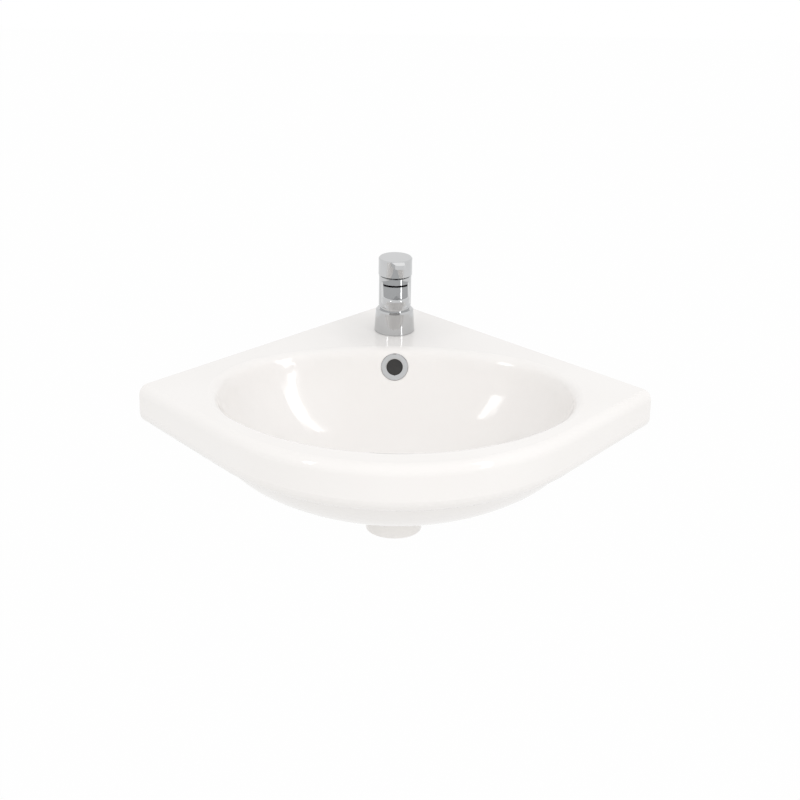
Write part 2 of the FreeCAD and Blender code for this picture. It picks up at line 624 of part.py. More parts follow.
def cut_duct(maker, body):
    """The hidden channel from the overflow down to the waste bore."""
    duct = maker.sketch(body, "duct", "YZ_Plane")
    shares = (0.075, 0.22, 0.4, 0.56, 0.7, 0.83, 0.93)
    outer_line = [back_wall(share, "(dims.bowl_wall + dims.duct_depth)") for share in shares]
    inner_line = [back_wall(share, "dims.bowl_wall") for share in reversed(shares)]
    roof = "-(dims.bowl_depth + dims.waste_seat_depth + dims.duct_wall)"
    in_bore = "-dims.waste_centre + dims.waste_bore / 4"
    at_boss = "-dims.waste_centre + dims.boss_diameter / 2 + 2"
    maker.polygon(duct, outer_line + [
        (at_boss, f"{roof} - dims.duct_depth"),
        (in_bore, f"{roof} - dims.duct_depth"),
        (in_bore, roof),
        (at_boss, roof),
    ] + inner_line)
    maker.pocket(body, duct, "dims.duct_width", midplane=True)


def overflow_spot(maker):
    """Where the overflow's axis meets the back wall of the bowl."""
    share = maker.value("dims.overflow_drop / dims.bowl_depth")
    return back_wall(share, "0")[0], "-dims.overflow_drop"


def cut_overflow(maker, body):
    """A flat seat for the ring, and the hole through the skin into the channel."""
    y, z = overflow_spot(maker)
    reach = "dims.overflow_ring_diameter / 2"
    cuts = [
        ("overflow_seat", f"{reach} + dims.hole_room", "dims.overflow_seat_depth"),
        ("overflow_hole", "dims.overflow_bore / 2", "dims.bowl_wall + dims.duct_depth / 2"),
    ]
    for name, radius, depth in cuts:
        sketch = maker.sketch(body, name)
        turn = FreeCAD.Rotation(FreeCAD.Vector(1, 0, 0), 90)
        sketch.AttachmentOffset = FreeCAD.Placement(FreeCAD.Vector(0, 0, 0), turn)
        sketch.setExpression("AttachmentOffset.Rotation.Angle", "90 - dims.overflow_tilt")
        sketch.setExpression("AttachmentOffset.Base.y", f"{y} - {reach} * cos(dims.overflow_tilt * 1deg)")
        sketch.setExpression("AttachmentOffset.Base.z", f"{z} + {reach} * sin(dims.overflow_tilt * 1deg)")
        maker.circle(sketch, "0", "0", radius)
        maker.pocket(body, sketch, f"{reach} + {depth}")


def cut_fixing_hole(maker, body, side):
    """A round hole square through one wall flange."""
    name = "left" if side < 0 else "right"
    sketch = maker.sketch(body, f"{name}_fixing")
    out = FreeCAD.Vector(side * SQRT_HALF, SQRT_HALF, 0)
    along = FreeCAD.Vector(-SQRT_HALF, side * SQRT_HALF, 0)
    turn = FreeCAD.Rotation(along, FreeCAD.Vector(0, 0, 1), out, "ZYX")
    sketch.AttachmentOffset = FreeCAD.Placement(FreeCAD.Vector(0, 0, 0), turn)
    sign = "-" if side < 0 else ""
    sketch.setExpression("AttachmentOffset.Base.x", f"{sign}dims.fixing_along * sqrt(0.5)")
    sketch.setExpression("AttachmentOffset.Base.y", "-dims.fixing_along * sqrt(0.5)")
    maker.circle(sketch, "0", "-dims.fixing_drop", "dims.fixing_hole / 2")
    maker.pocket(body, sketch, "2 * dims.wall_thickness")


def make_overflow_ring(maker):
    """Trim ring: a bevelled flange in its seat and a short sleeve in the hole."""
    body = maker.body("overflow_ring", on_tap=False)
    y, z = overflow_spot(maker)
    body.Placement = FreeCAD.Placement(FreeCAD.Vector(0, 0, 0), FreeCAD.Rotation(FreeCAD.Vector(1, 0, 0), 90))
    body.setExpression("Placement.Base.y", y)
    body.setExpression("Placement.Base.z", z)
    body.setExpression("Placement.Rotation.Angle", "90 - dims.overflow_tilt")
    inner = "dims.overflow_ring_bore / 2"
    outer = "dims.overflow_ring_diameter / 2"
    sleeve = "dims.overflow_bore / 2 - dims.hole_room"
    seat = "-dims.overflow_seat_depth"
    face = "(dims.overflow_ring_flange - dims.overflow_seat_depth)"
    maker.revolve(body, "profile", [
        (inner, "-dims.bowl_wall"),
        (sleeve, "-dims.bowl_wall"),
        (sleeve, seat),
        (outer, seat),
        (outer, f"{face} / 3"),
        (f"{outer} - {face}", face),
        (f"{inner} + {face}", face),
        (inner, f"{face} / 4"),
    ])
    return body


# ---------------------------------------------------------------- mixer body

def tab(maker, sketch, root, start, tip, reach):
    """An outline that starts square at `start` and runs forward to a round tip.

    root: half width at the start; tip: radius of the tip; reach: origin to the tip's centre.
    """
    a, y0 = maker.value(root), maker.value(start)
    r, length = maker.value(tip), maker.value(reach)
    span = math.hypot(a, y0 + length)
    swing = math.atan2(y0 + length, a) - math.acos(r / span)
    touch = FreeCAD.Vector(r * math.cos(swing), -length + r * math.sin(swing), 0)
    left_touch = FreeCAD.Vector(-touch.x, touch.y, 0)
    right, left = FreeCAD.Vector(a, y0, 0), FreeCAD.Vector(-a, y0, 0)
    circle = Part.Circle(FreeCAD.Vector(0, -length, 0), FreeCAD.Vector(0, 0, 1), r)
    edges = [
        Part.LineSegment(right, left),
        Part.LineSegment(left, left_touch),
        Part.ArcOfCircle(circle, math.pi - swing, 2 * math.pi + swing),
        Part.LineSegment(touch, right),
    ]
    for edge in edges:
        sketch.addGeometry(edge, False)
    for first, second in ((0, 1), (3, 0)):
        sketch.addConstraint(Sketcher.Constraint("Coincident", first, 2, second, 1))
    for first, second in ((1, 2), (2, 3)):
        sketch.addConstraint(Sketcher.Constraint("Tangent", first, 2, second, 1))
    maker.bind(sketch, "Radius", (2,), (), tip)
    maker.fix_point(sketch, 2, 3, "0", f"-({reach})")
    maker.fix_point(sketch, 0, 1, root, start)
    maker.fix_point(sketch, 0, 2, f"-({root})", start)


def make_mixer_body(maker):
    """One casting: foot, waist, barrel and spout, with its bores and waterways."""
    body = maker.body("mixer_body")
    maker.revolve(body, "barrel", [
        ("0", "-dims.spigot_length"),
        ("dims.spigot_radius", "-dims.spigot_length"),
        ("dims.spigot_radius", "dims.gasket_thickness"),
        ("dims.gasket_outer + dims.hole_room", "dims.gasket_thickness"),
        ("dims.gasket_outer + dims.hole_room", "dims.base_lift"),
        ("dims.base_radius", "dims.base_lift"),
        ("dims.base_top_radius", "dims.base_height - dims.base_bevel"),
        ("dims.base_top_radius - dims.base_bevel", "dims.base_height"),
        ("dims.neck_radius", "dims.base_height"),
        ("dims.neck_radius", "dims.barrel_bottom"),
        ("dims.barrel_radius - dims.base_bevel / 2", "dims.barrel_bottom"),
        ("dims.barrel_radius", "dims.barrel_bottom + dims.base_bevel / 2"),
        ("dims.barrel_radius", "dims.barrel_top"),
        ("0", "dims.barrel_top"),
    ])
    add_spout(maker, body)
    maker.cylinder_cut(body, "chamber", "0", "0", "dims.chamber_radius",
                       "dims.chamber_floor", "dims.barrel_top - dims.chamber_floor + 1")
    cut_waterways(maker, body)
    maker.cylinder_cut(body, "stud_hole", "0", "dims.stud_back", "dims.stud_radius + dims.screw_fit",
                       "-dims.spigot_length", "dims.stud_grip")
    return body


def add_spout(maker, body):
    plan = maker.sketch(body, "spout", "XY_Plane", "dims.spout_top - dims.spout_root")
    tab(maker, plan, "dims.spout_half_width", "0", "dims.spout_half_width", "dims.spout_reach")
    maker.pad(body, plan, "dims.spout_root")
    under = maker.sketch(body, "spout_under", "YZ_Plane")
    root = "-(dims.barrel_radius + 0.5)"
    flat = "-(dims.spout_reach - dims.spout_half_width - 3)"
    end = "-(dims.spout_reach + dims.spout_half_width + 5)"
    nose = "dims.spout_top - dims.spout_nose"
    low = "dims.spout_top - dims.spout_root"
    maker.polygon(under, [
        (root, f"{low} - 1"),
        (root, low),
        (flat, nose),
        (end, nose),
        (end, f"{low} - 1"),
    ])
    maker.pocket(body, under, "2 * dims.barrel_radius", midplane=True)
    top = maker.value("dims.spout_top")
    barrel = maker.value("dims.barrel_radius")

    def top_edge(edge):
        middle = middle_of(edge)
        return lies_at(edge, top) and math.hypot(middle.x, middle.y) > barrel + 0.5

    maker.round_edges(body, "spout_edge", "dims.spout_edge_round", top_edge)


def cut_waterways(maker, body):
    for side, name in (("-", "hot"), ("", "cold")):
        maker.cylinder_cut(body, f"{name}_inlet", f"{side}dims.inlet_offset", "-dims.inlet_forward",
                           "dims.inlet_radius", "-dims.spigot_length", "dims.inlet_depth")
        maker.cylinder_cut(body, f"{name}_port", f"{side}dims.port_offset", "-dims.inlet_forward",
                           "dims.port_radius", "0", "dims.chamber_floor + 1")
    centre = "-dims.spout_reach"
    step = "dims.spout_top - dims.spout_roof - dims.channel_height"
    nose = "(dims.spout_top - dims.spout_nose)"
    maker.cylinder_cut(body, "aerator_socket", "0", centre, "dims.aerator_thread_radius + dims.screw_fit",
                       f"{nose} - 1", f"{step} - {nose} + 1")
    maker.cylinder_cut(body, "plenum", "0", centre, "dims.aerator_bore - dims.aerator_lip",
                       f"{step} - 1", "dims.channel_height + 1")
    channel = maker.sketch(body, "channel", "XY_Plane", step)
    wide, inside = "dims.channel_half_width", "-dims.chamber_radius / 2"
    maker.polygon(channel, [(f"-{wide}", inside), (f"-{wide}", centre), (wide, centre), (wide, inside)])
    maker.pocket(body, channel, "dims.channel_height", reverse=True)


def make_base_gasket(maker):
    body = maker.body("base_gasket")
    maker.ring(body, "ring", "dims.gasket_outer", "dims.gasket_inner", "0", "dims.gasket_thickness")
    return body


# ---------------------------------------------------------------- aerator

def at_outlet(maker, label):
    body = maker.body(label)
    body.setExpression("Placement.Base.y", "-dims.tap_centre - dims.spout_reach")
    return body


def make_aerator_housing(maker):
    body = at_outlet(maker, "aerator_housing")
    nose = "(dims.spout_top - dims.spout_nose)"
    bottom = f"{nose} - dims.aerator_drop"
    top = "dims.spout_top - dims.spout_roof - dims.channel_height - dims.aerator_seal_thickness"
    lip = "dims.aerator_lip"
    maker.revolve(body, "profile", [
        (f"dims.aerator_bore - {lip}", bottom),
        (f"dims.aerator_radius - {lip}", bottom),
        ("dims.aerator_radius", f"{bottom} + {lip}"),
        ("dims.aerator_radius", nose),
        ("dims.aerator_thread_radius", nose),
        ("dims.aerator_thread_radius", top),
        ("dims.aerator_bore", top),
        ("dims.aerator_bore", f"{bottom} + {lip}"),
        (f"dims.aerator_bore - {lip}", f"{bottom} + {lip}"),
    ])
    return body


def make_aerator_insert(maker):
    """The plastic insert, with rings of round openings for the stream."""
    body = at_outlet(maker, "aerator_insert")
    floor = "(dims.spout_top - dims.spout_nose - dims.aerator_drop + dims.aerator_lip)"
    top = "dims.spout_top - dims.spout_roof - dims.channel_height - dims.aerator_seal_thickness"
    maker.ring(body, "disc", "dims.aerator_bore - dims.screw_fit", "dims.aerator_hole", floor, top)
    for count, distance in ((6, "dims.aerator_hole * 2.8"), (12, "dims.aerator_hole * 5.6")):
        holes = maker.sketch(body, f"holes_{count}", "XY_Plane", floor)
        maker.circle(holes, distance, "0", "dims.aerator_hole")
        drilled = maker.pocket(body, holes, f"{top} - {floor}", reverse=True)
        pattern = body.newObject("PartDesign::PolarPattern", f"ring_of_{count}")
        pattern.Originals = [drilled]
        pattern.Axis = (holes, ["N_Axis"])
        pattern.Angle = 360
        pattern.Occurrences = count
        body.Tip = pattern
    return body


def make_aerator_seal(maker):
    body = at_outlet(maker, "aerator_seal")
    top = "dims.spout_top - dims.spout_roof - dims.channel_height"
    maker.ring(body, "ring", "dims.aerator_thread_radius", "dims.aerator_bore - dims.aerator_lip",
               f"{top} - dims.aerator_seal_thickness", top)
    return body


# ---------------------------------------------------------------- cartridge

BASE_TOP = "(dims.chamber_floor + dims.cartridge_base_thickness)"
DISC_TOP = f"({BASE_TOP} + 2 * dims.disc_thickness)"
CARRIER_TOP = f"({DISC_TOP} + dims.carrier_height)"
ROTOR_TOP = f"({CARRIER_TOP} + dims.rotor_gap + dims.rotor_height)"
HOUSING_TOP = f"({ROTOR_TOP} + dims.rotor_gap + dims.cartridge_roof)"
HOUSING_BORE = "(dims.cartridge_radius - dims.cartridge_shell)"
COVER_TOP = "(dims.barrel_top + dims.cover_thickness)"


def port_spots():
    """Names and places of the three waterways of the cartridge."""
    return [
        ("hot", "-dims.port_offset", "-dims.inlet_forward"),
        ("cold", "dims.port_offset", "-dims.inlet_forward"),
        ("outlet", "0", "dims.outlet_back"),
    ]


def make_cartridge_base(maker):
    body = maker.body("cartridge_base")
    plate = maker.sketch(body, "plate", "XY_Plane", "dims.chamber_floor")
    maker.circle(plate, "0", "0", "dims.cartridge_radius")
    maker.pad(body, plate, "dims.cartridge_base_thickness")
    for name, x, y in port_spots():
        maker.cylinder_cut(body, f"{name}_port", x, y, "dims.port_radius",
                           "dims.chamber_floor", "dims.cartridge_base_thickness + 1")
        if name != "outlet":
            maker.cylinder_cut(body, f"{name}_seat", x, y, "dims.port_seal_radius + dims.screw_fit",
                               "dims.chamber_floor", "dims.port_seal_thickness")
    side = maker.sketch(body, "side_slot", "XY_Plane", "dims.chamber_floor")
    wide, start, end = "dims.port_radius", "dims.outlet_back", "dims.cartridge_radius + 1"
    maker.polygon(side, [(f"-{wide}", start), (wide, start), (wide, end), (f"-{wide}", end)])
    maker.pocket(body, side, "dims.cartridge_base_thickness / 2", reverse=True)
    return body


def make_port_seals(maker):
    """Two flat rings in the base, one at each inlet port."""
    body = maker.body("port_seals")
    sketch = maker.sketch(body, "rings", "XY_Plane", "dims.chamber_floor")
    for name, x, y in port_spots()[:2]:
        maker.circle(sketch, x, y, "dims.port_seal_radius")
        maker.circle(sketch, x, y, "dims.port_radius")
    maker.pad(body, sketch, "dims.port_seal_thickness")
    return body


def make_fixed_disc(maker):
    body = maker.body("fixed_disc")
    plate = maker.sketch(body, "plate", "XY_Plane", BASE_TOP)
    maker.circle(plate, "0", "0", f"{HOUSING_BORE} - dims.disc_side_gap")
    for name, x, y in port_spots():
        maker.circle(plate, x, y, "dims.port_radius")
    maker.pad(body, plate, "dims.disc_thickness")
    return body


def make_moving_disc(maker):
    """The upper disc, drawn shut, with the hollow that joins the ports when it slides forward."""
    body = maker.body("moving_disc", turned=True)
    bottom = f"({BASE_TOP} + dims.disc_thickness)"
    plate = maker.sketch(body, "plate", "XY_Plane", bottom)
    maker.circle(plate, "0", "dims.disc_travel / 2", "dims.moving_disc_radius")
    maker.pad(body, plate, "dims.disc_thickness")
    hollow = maker.sketch(body, "mixing_hollow", "XY_Plane", bottom)
    wide = "dims.port_offset"
    front = "-dims.inlet_forward + dims.port_radius + 0.3"
    back = "dims.outlet_back + dims.port_radius - 1"
    maker.polygon(hollow, [(f"-{wide}", front), (wide, front), (f"{wide} / 2", back), (f"-{wide} / 2", back)])
    maker.pocket(body, hollow, "dims.disc_thickness / 2", reverse=True)
    return body


def make_disc_carrier(maker):
    body = maker.body("disc_carrier", turned=True)
    plate = maker.sketch(body, "plate", "XY_Plane", DISC_TOP)
    maker.circle(plate, "0", "dims.disc_travel / 2", "dims.moving_disc_radius")
    maker.pad(body, plate, "dims.carrier_height")
    ball_bottom = "(dims.pivot_height - dims.stem_arm - dims.stem_ball - dims.ball_play / 3)"
    maker.cylinder_cut(body, "ball_socket", "0", "0", "dims.stem_ball + dims.ball_play",
                       ball_bottom, "dims.carrier_height + 1")
    return body


def make_cartridge_rotor(maker):
    """The rotor that turns with the lever and carries the stem's pin."""
    body = maker.body("cartridge_rotor", turned=True)
    bottom = f"{CARRIER_TOP} + dims.rotor_gap"
    round_plate = maker.sketch(body, "round", "XY_Plane", bottom)
    maker.circle(round_plate, "0", "0", f"{HOUSING_BORE} - dims.rotor_gap")
    maker.pad(body, round_plate, "dims.rotor_height")
    slot = maker.sketch(body, "slot", "XY_Plane", bottom)
    wide, long = "(dims.stem_half + dims.stem_side_gap)", "dims.rotor_slot"
    maker.polygon(slot, [(f"-{wide}", f"-{long}"), (wide, f"-{long}"), (wide, long), (f"-{wide}", long)])
    maker.pocket(body, slot, "dims.rotor_height + 1", reverse=True)
    pin = maker.sketch(body, "pin_hole", "YZ_Plane")
    maker.circle(pin, "0", "dims.pivot_height", "dims.pin_radius + dims.pin_clearance")
    maker.pocket(body, pin, "2 * dims.cartridge_radius", midplane=True)
    return body


def make_stem_pin(maker):
    body = maker.body("stem_pin", turned=True)
    sketch = maker.sketch(body, "round", "YZ_Plane")
    maker.circle(sketch, "0", "dims.pivot_height", "dims.pin_radius")
    maker.pad(body, sketch, f"2 * ({HOUSING_BORE} - dims.rotor_gap - 0.6)", midplane=True)
    return body


def make_cartridge_stem(maker):
    """Square stem with its pin hole, a thin neck and the ball that drives the carrier."""
    body = maker.body("cartridge_stem", turned=True)
    start = "(dims.pivot_height - dims.stem_half - 0.5)"
    ball = "(dims.pivot_height - dims.stem_arm)"
    square = maker.sketch(body, "square", "XY_Plane", start)
    half = "dims.stem_half"
    maker.polygon(square, [(f"-{half}", f"-{half}"), (half, f"-{half}"), (half, half), (f"-{half}", half)])
    maker.pad(body, square, f"dims.stem_top - {start}")
    neck = maker.sketch(body, "neck", "XY_Plane", ball)
    maker.circle(neck, "0", "0", "dims.stem_neck")
    maker.pad(body, neck, f"{start} - {ball} + 1")
    sphere = body.newObject("PartDesign::AdditiveSphere", "ball")
    plane = [item for item in body.Origin.OriginFeatures if item.Role == "XY_Plane"][0]
    sphere.AttachmentSupport = [(plane, "")]
    sphere.MapMode = "FlatFace"
    sphere.setExpression("AttachmentOffset.Base.z", ball)
    sphere.setExpression("Radius", "dims.stem_ball")
    pin = maker.sketch(body, "pin_hole", "YZ_Plane")
    maker.circle(pin, "0", "dims.pivot_height", "dims.pin_radius + dims.pin_clearance")
    maker.pocket(body, pin, "4 * dims.stem_half", midplane=True)
    return body


def make_cartridge_housing(maker):
    body = maker.body("cartridge_housing")
    maker.revolve(body, "profile", [
        (HOUSING_BORE, BASE_TOP),
        ("dims.cartridge_radius", BASE_TOP),
        ("dims.cartridge_radius", HOUSING_TOP),
        ("dims.cartridge_opening", HOUSING_TOP),
        ("dims.cartridge_opening", f"{HOUSING_TOP} - dims.cartridge_roof"),
        (HOUSING_BORE, f"{HOUSING_TOP} - dims.cartridge_roof"),
    ])
    return body


def hexagon(maker, sketch, half_flat):
    """A hexagon about the origin, given half its width across the flats."""
    corner = f"({half_flat} / cos(30deg))"
    maker.polygon(sketch, [
        (corner, "0"),
        (f"{corner} / 2", half_flat),
        (f"-{corner} / 2", half_flat),
        (f"-{corner}", "0"),
        (f"-{corner} / 2", f"-{half_flat}"),
        (f"{corner} / 2", f"-{half_flat}"),
    ])


def make_cartridge_nut(maker):
    """Round nut, screwed into the barrel, that clamps the housing; hexagon socket for the key."""
    body = maker.body("cartridge_nut")
    sketch = maker.sketch(body, "round", "XY_Plane", HOUSING_TOP)
    maker.circle(sketch, "0", "0", "dims.chamber_radius - dims.screw_fit")
    hexagon(maker, sketch, "dims.nut_opening")
    maker.pad(body, sketch, "dims.nut_height")
    return body


def make_cover_ring(maker):
    body = maker.body("cover_ring")
    spigot = "dims.chamber_radius - dims.hole_room"
    maker.revolve(body, "profile", [
        ("dims.cover_opening", f"{HOUSING_TOP} + dims.nut_height + 0.1"),
        (spigot, f"{HOUSING_TOP} + dims.nut_height + 0.1"),
        (spigot, "dims.barrel_top"),
        ("dims.barrel_radius", "dims.barrel_top"),
        ("dims.barrel_radius", f"{COVER_TOP} - dims.cover_thickness / 2"),
        ("dims.barrel_radius - dims.cover_thickness / 2", COVER_TOP),
        ("dims.cover_opening", COVER_TOP),
    ])
    return body


# ---------------------------------------------------------------- lever

def make_lever_handle(maker):
    """A round cap with a flat top, a forward tongue, and a socket for the stem inside."""
    body = maker.body("lever_handle", turned=True)
    bottom = f"({COVER_TOP} + dims.lever_gap)"
    roof = "(dims.lever_top - dims.lever_roof)"
    inner = "(dims.lever_radius - dims.lever_skirt)"
    maker.revolve(body, "cap", [
        (inner, bottom),
        ("dims.lever_radius", bottom),
        ("dims.lever_radius", "dims.lever_top - dims.lever_bevel"),
        ("dims.lever_radius - dims.lever_bevel", "dims.lever_top"),
        ("0", "dims.lever_top"),
        ("0", roof),
        (inner, roof),
    ])
    boss = maker.sketch(body, "boss", "XY_Plane", "dims.lever_boss_bottom")
    maker.circle(boss, "0", "0", "dims.lever_boss")
    maker.pad(body, boss, f"{roof} - dims.lever_boss_bottom + 1")
    web = maker.sketch(body, "web", "XY_Plane", "dims.web_bottom")
    half, start, end = "dims.web_half", "dims.lever_boss / 2", f"{inner} + dims.lever_skirt / 4"
    maker.polygon(web, [(f"-{half}", start), (half, start), (half, end), (f"-{half}", end)])
    maker.pad(body, web, f"{roof} - dims.web_bottom + 1")
    add_tongue(maker, body)
    cut_lever_socket(maker, body, roof)
    cut_lever_relief(maker, body, bottom)
    return body


def add_tongue(maker, body):
    """The tongue leaves the front of the cap flush with its top and rises forward."""
    slope = "dims.tongue_rise * 1deg"
    tongue = maker.sketch(body, "tongue")
    tilt = FreeCAD.Rotation(FreeCAD.Vector(-1, 0, 0), maker.value("dims.tongue_rise"))
    tongue.AttachmentOffset = FreeCAD.Placement(FreeCAD.Vector(0, 0, 0), tilt)
    tongue.setExpression("AttachmentOffset.Rotation.Angle", "dims.tongue_rise")
    fall = f"dims.lever_radius * tan({slope}) + dims.tongue_thickness / cos({slope})"
    tongue.setExpression("AttachmentOffset.Base.z", f"dims.lever_top - ({fall})")
    tab(maker, tongue, "dims.tongue_root", "-dims.lever_radius / 2", "dims.tongue_tip",
        f"dims.tongue_reach / cos({slope}) - dims.tongue_tip")
    maker.pad(body, tongue, "dims.tongue_thickness")


def cut_lever_socket(maker, body, roof):
    socket = maker.sketch(body, "stem_socket", "XY_Plane", "dims.lever_boss_bottom")
    half = "(dims.stem_half + dims.socket_room)"
    maker.polygon(socket, [(f"-{half}", f"-{half}"), (half, f"-{half}"), (half, half), (f"-{half}", half)])
    maker.pocket(body, socket, f"{roof} - dims.lever_boss_bottom", reverse=True)
    plug_floor = "dims.lever_radius - dims.plug_thickness"
    for name, radius, start in (
        ("grub_hole", "dims.grub_radius + dims.screw_fit", "0"),
        ("plug_hole", "dims.plug_radius + dims.screw_fit", plug_floor),
    ):
        hole = maker.sketch(body, name, "XZ_Plane", "0" if start == "0" else f"-({start})")
        maker.circle(hole, "0", "dims.grub_height", radius)
        maker.pocket(body, hole, "2 * dims.lever_radius")


def cut_lever_relief(maker, body, bottom):
    """Slopes the back of the skirt upwards, so that it clears the barrel when the lever lifts."""
    relief = maker.sketch(body, "relief", "YZ_Plane")
    end = "(dims.lever_radius + 5)"
    maker.polygon(relief, [
        ("0", f"{bottom} - 1"),
        (end, f"{bottom} - 1"),
        (end, f"{bottom} + {end} * tan(dims.lever_relief * 1deg)"),
        ("0", bottom),
    ])
    maker.pocket(body, relief, "3 * dims.lever_radius", midplane=True)


def make_grub_screw(maker):
    """Short screw with a hexagon socket, from the back of the lever against the stem."""
    body = maker.body("grub_screw", turned=True)
    start = "(dims.stem_half + dims.socket_room)"
    shank = maker.sketch(body, "shank", "XZ_Plane", f"-{start}")
    maker.circle(shank, "0", "dims.grub_height", "dims.grub_radius")
    maker.pad(body, shank, "dims.grub_length", reverse=True)
    key = maker.sketch(body, "key", "XZ_Plane", f"-({start} + dims.grub_length)")
    maker.circle(key, "0", "dims.grub_height", "dims.grub_radius / 2")
    maker.pocket(body, key, "dims.grub_length / 3")
    return body


def make_screw_plug(maker):
    body = maker.body("screw_plug", turned=True)
    start = "(dims.lever_radius - dims.plug_thickness)"
    round_plate = maker.sketch(body, "round", "XZ_Plane", f"-{start}")
    maker.circle(round_plate, "0", "dims.grub_height", "dims.plug_radius")
    maker.pad(body, round_plate, "dims.plug_thickness - 0.3", reverse=True)
    return body


# ---------------------------------------------------------------- fixing set

def make_fixing_stud(maker):
    body = maker.body("fixing_stud")
    rod = maker.sketch(body, "rod", "XY_Plane", "-dims.stud_tail")
    maker.circle(rod, "0", "dims.stud_back", "dims.stud_radius")
    maker.pad(body, rod, "dims.stud_tail + dims.stud_grip - dims.spigot_length")
    return body


def make_horseshoe(maker, label, top, thickness):
    """A round plate under the ledge, open towards the front for the two supplies."""
    body = maker.body(label)
    bottom = f"{top} - {thickness}"
    plate = maker.sketch(body, "plate", "XY_Plane", bottom)
    maker.circle(plate, "0", "0", "dims.horseshoe_radius")
    maker.circle(plate, "0", "dims.stud_back", "dims.stud_radius + dims.hole_room")
    maker.pad(body, plate, thickness)
    slot = maker.sketch(body, "slot", "XY_Plane", bottom)
    wide, front = "dims.horseshoe_slot", "-dims.horseshoe_radius - 1"
    maker.polygon(slot, [(f"-{wide}", front), (wide, front), (wide, "dims.horseshoe_land"),
                         (f"-{wide}", "dims.horseshoe_land")])
    maker.pocket(body, slot, thickness, reverse=True)
    return body


def make_stud_nut(maker):
    body = maker.body("stud_nut")
    top = "-(dims.ledge_thickness + dims.rubber_thickness + dims.plate_thickness)"
    sketch = maker.sketch(body, "hexagon", "XY_Plane", f"{top} - dims.stud_nut_height")
    hexagon(maker, sketch, "dims.stud_nut_half")
    maker.circle(sketch, "0", "0", "dims.stud_radius + dims.screw_fit")
    maker.pad(body, sketch, "dims.stud_nut_height")
    body.setExpression("Placement.Base.y", "-dims.tap_centre + dims.stud_back")
    return body


# ---------------------------------------------------------------- the whole

def build():
    doc = FreeCAD.newDocument("corner_basin")
    sheet = fill_sheet(doc)
    maker = Maker(doc, sheet)
    ledge = "-dims.ledge_thickness"
    under_rubber = "-(dims.ledge_thickness + dims.rubber_thickness)"
    bodies = [
        make_basin(maker),
        make_overflow_ring(maker),
        make_mixer_body(maker),
        make_base_gasket(maker),
        make_aerator_housing(maker),
        make_aerator_insert(maker),
        make_aerator_seal(maker),
        make_cartridge_base(maker),
        make_port_seals(maker),
        make_fixed_disc(maker),
        make_moving_disc(maker),
        make_disc_carrier(maker),
        make_cartridge_rotor(maker),
        make_stem_pin(maker),
        make_cartridge_stem(maker),
        make_cartridge_housing(maker),
        make_cartridge_nut(maker),
        make_cover_ring(maker),
        make_lever_handle(maker),
        make_grub_screw(maker),
        make_screw_plug(maker),
        make_fixing_stud(maker),
        make_horseshoe(maker, "rubber_horseshoe", ledge, "dims.rubber_thickness"),
        make_horseshoe(maker, "steel_horseshoe", under_rubber, "dims.plate_thickness"),
        make_stud_nut(maker),
    ]
    doc.recompute()
    return doc, bodies


def check(doc, bodies):
    """Stops the run if any object failed or any piece is empty or not valid."""
    for item in doc.Objects:
        if "Invalid" in item.State or "Error" in item.State:
            raise RuntimeError(f"{item.Name} failed: {item.State}")
    for body in bodies:
        if body.Shape.isNull() or not body.Shape.isValid():
            raise RuntimeError(f"{body.Label} has no valid shape")


def write_parts(bodies):
    os.makedirs("parts", exist_ok=True)
    for body in bodies:
        body.Shape.exportStep(os.path.join("parts", body.Label + ".step"))
        print(f"{body.Label}: {len(body.Shape.Solids)} solid, {body.Shape.Volume / 1000:.2f} cm3")


document, pieces = build()
check(document, pieces)
write_parts(pieces)
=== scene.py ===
import json
import math

import bpy
from mathutils import Matrix, Vector

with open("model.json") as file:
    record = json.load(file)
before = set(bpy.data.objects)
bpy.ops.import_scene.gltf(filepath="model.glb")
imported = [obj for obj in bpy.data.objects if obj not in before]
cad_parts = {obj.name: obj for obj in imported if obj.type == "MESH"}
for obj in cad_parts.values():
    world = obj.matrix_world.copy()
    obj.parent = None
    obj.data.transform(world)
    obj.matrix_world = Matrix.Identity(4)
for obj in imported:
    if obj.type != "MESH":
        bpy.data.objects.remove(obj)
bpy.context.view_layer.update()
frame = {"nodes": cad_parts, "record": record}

# The photograph's camera, fitted to the outline of the rim. Metres and degrees.
TARGET = Vector((0.00496, -0.29700, -0.01482))
DISTANCE = 2.2
ELEVATION = 22.808
YAW = -1.141
ROLL = 1.072
LENS = 85.289


# ---------------------------------------------------------------- materials

